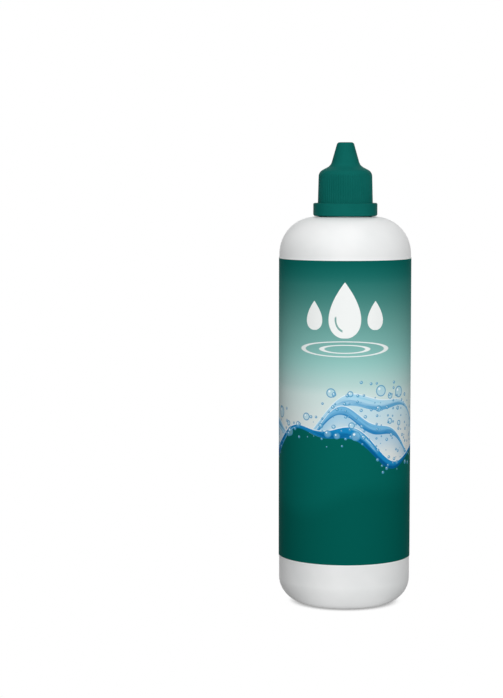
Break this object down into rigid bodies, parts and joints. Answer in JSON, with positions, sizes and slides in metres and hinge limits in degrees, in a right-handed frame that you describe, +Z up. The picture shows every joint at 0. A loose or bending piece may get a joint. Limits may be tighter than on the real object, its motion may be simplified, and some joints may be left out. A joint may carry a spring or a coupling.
{
  "type": "contact lens solution bottle",
  "caption": "Round squeeze bottle for contact lens solution with a wrap label, a dropper nozzle and a ribbed screw cap with a tapered nose over a tamper ring.",
  "frame": {"origin": "middle of the circle the bottle stands on, on the surface it stands on", "axes": "+Z up along the bottle's axis, -Y out of the front of the label, +X to the right of someone who looks at the front"},
  "size_m": [0.0578, 0.0578, 0.202],
  "materials": {
    "white_bottle_plastic": "satin white blow-moulded polyethylene",
    "label_film": "printed satin film",
    "natural_nozzle_plastic": "soft natural polyethylene",
    "green_cap_plastic": "satin dark green polypropylene",
    "green_ring_plastic": "satin dark green polypropylene",
    "clear_solution": "clear watery liquid"
  },
  "bodies": {
    "bottle": {"bottle_body": "white_bottle_plastic", "wrap_label": "label_film", "dropper_nozzle": "natural_nozzle_plastic", "solution": "clear_solution"},
    "ring": {"tamper_ring": "green_ring_plastic", "tamper_bridges": "green_ring_plastic"},
    "cap": {"screw_cap": "green_cap_plastic"}
  },
  "joints": [
    {"name": "cap_turn", "type": "hinge", "parent": "bottle", "child": "ring", "pos_m": [0, 0, 0.175], "axis": [0, 0, 1], "range_deg": [0, 2880]},
    {"name": "cap_lift", "type": "slide", "parent": "ring", "child": "cap", "axis": [0, 0, 1], "range_m": [0, 0.0254]}
  ],
  "couplings": [
    {"joint": "cap_lift", "follows": "cap_turn", "m_per_rad": 0.00050531}
  ]
}
